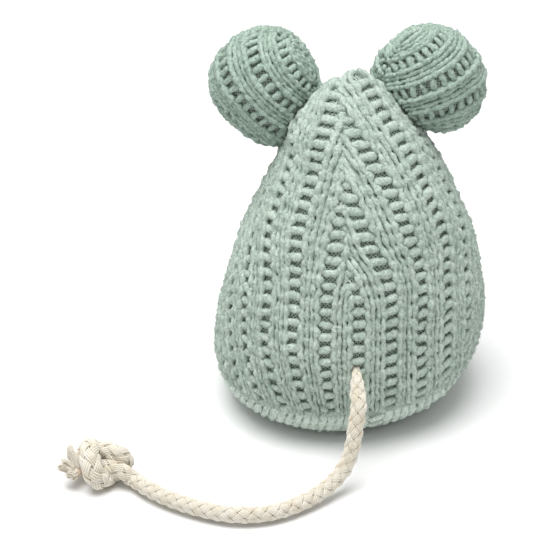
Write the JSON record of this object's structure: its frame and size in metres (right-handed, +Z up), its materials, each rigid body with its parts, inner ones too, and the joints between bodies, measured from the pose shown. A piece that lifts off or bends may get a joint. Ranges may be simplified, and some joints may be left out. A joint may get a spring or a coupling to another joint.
{
  "type": "catnip mouse",
  "caption": "Stuffed catnip mouse of ribbed chenille knit that sits upright, with round ears, a hidden catnip sachet and a braided cotton tail tied in a knot.",
  "frame": {"origin": "on the floor, under the middle of the body", "axes": "+Z up, +Y the way the mouse faces, +X to the right as seen from behind; the tail leaves the back towards -Y"},
  "size_m": [0.1089, 0.0967, 0.0956],
  "materials": {
    "knit": "soft ribbed chenille knit",
    "net": "fine open net",
    "thread": "spun polyester sewing thread",
    "fibre": "loose polyester fibre",
    "muslin": "plain woven muslin",
    "catnip": "dried crumbled leaf",
    "cotton": "matte braided cotton",
    "embroidery": "satin stitched thread"
  },
  "bodies": {
    "mouse_body": {"left_side_panel": "knit", "right_side_panel": "knit", "base_panel": "knit", "back_seam_thread": "thread", "front_seam_thread": "thread", "base_seam_thread": "thread", "net_lining": "net", "body_stuffing": "fibre", "catnip_sachet": "muslin", "sachet_tie": "thread", "dried_catnip": "catnip", "tail_anchor": "cotton", "left_eye": "embroidery", "right_eye": "embroidery", "nose": "embroidery", "left_ear_tack_stitch": "thread", "right_ear_tack_stitch": "thread"},
    "left_ear": {"left_ear_back_panel": "knit", "left_ear_front_panel": "knit", "left_ear_rim_thread": "thread", "left_ear_stuffing": "fibre"},
    "right_ear": {"right_ear_back_panel": "knit", "right_ear_front_panel": "knit", "right_ear_rim_thread": "thread", "right_ear_stuffing": "fibre"},
    "tail_base": {"tail_root": "cotton"},
    "tail": {"tail_cord": "cotton", "tail_knot": "cotton", "tail_frayed_end": "cotton"}
  },
  "joints": [
    {"name": "left_ear_flop", "type": "hinge", "parent": "mouse_body", "child": "left_ear", "pos_m": [-0.01043, 0.00905, 0.07226], "axis": [0.5378, -0.2013, 0.8187], "range_deg": [-12, 12], "stiffness_Nm_per_rad": 0.02},
    {"name": "right_ear_flop", "type": "hinge", "parent": "mouse_body", "child": "right_ear", "pos_m": [0.01571, 0.00806, 0.07606], "axis": [-0.5313, -0.2251, 0.8167], "range_deg": [-12, 12], "stiffness_Nm_per_rad": 0.02},
    {"name": "tail_swing", "type": "hinge", "parent": "mouse_body", "child": "tail_base", "pos_m": [0.0018, -0.03539, 0.02482], "axis": [0, 0, 1], "range_deg": [-35, 80]},
    {"name": "tail_lift", "type": "hinge", "parent": "tail_base", "child": "tail", "pos_m": [0.00199, -0.04104, 0.01916], "axis": [-1, 0, 0], "range_deg": [0, 60]}
  ]
}
